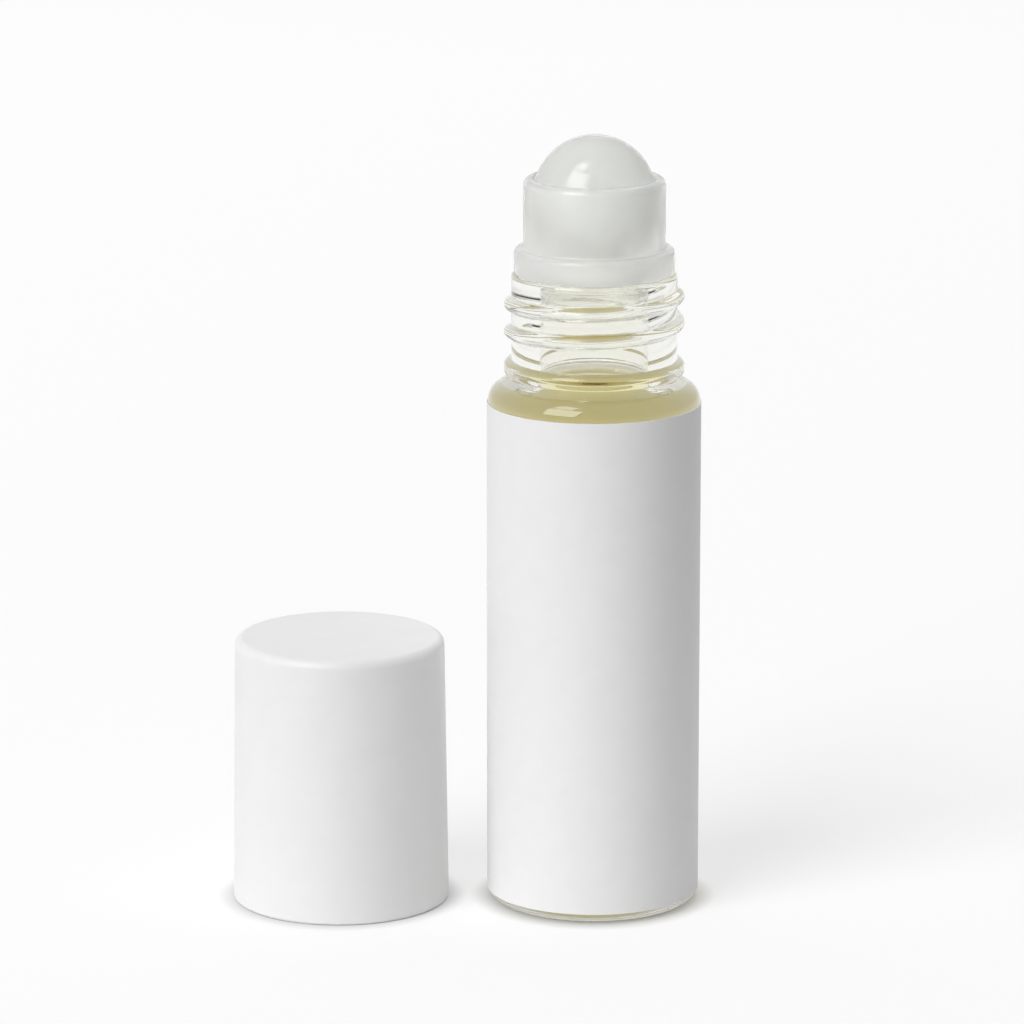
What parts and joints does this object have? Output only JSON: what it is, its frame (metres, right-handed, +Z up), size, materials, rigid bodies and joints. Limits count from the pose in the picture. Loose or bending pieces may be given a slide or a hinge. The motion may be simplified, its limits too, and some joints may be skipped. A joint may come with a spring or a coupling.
{
  "type": "roll on bottle",
  "caption": "Slim clear glass roll-on bottle with a plain white wrap label, pale oil, a milky roller ball in a snap-in housing, and its white screw cap standing beside it.",
  "frame": {"origin": "centre of the bottle's base, on the surface that the bottle stands on", "axes": "+Z up along the bottle's axis; the cap stands on the -X side of the bottle; -Y is the side that the picture shows"},
  "size_m": [0.0445, 0.0206, 0.0738],
  "materials": {
    "clear_glass": "polished clear glass",
    "label_paper": "matte white",
    "oil": "clear pale gold liquid",
    "housing_plastic": "natural translucent, satin",
    "ball_plastic": "milky, smooth",
    "cap_plastic": "white, satin"
  },
  "bodies": {
    "bottle": {"glass_bottle": "clear_glass", "paper_label": "label_paper", "fragrance_oil": "oil", "roller_housing": "housing_plastic"},
    "ball": {"roller_ball": "ball_plastic"},
    "cap": {"screw_cap": "cap_plastic"}
  },
  "joints": [
    {"name": "ball_roll", "type": "hinge", "parent": "bottle", "child": "ball", "pos_m": [0, 0, 0.068], "axis": [1, 0, 0], "continuous": true},
    {"name": "cap_lift", "type": "slide", "parent": "bottle", "child": "cap", "axis": [0, 0, 1], "range_m": [0, 0.08]}
  ]
}
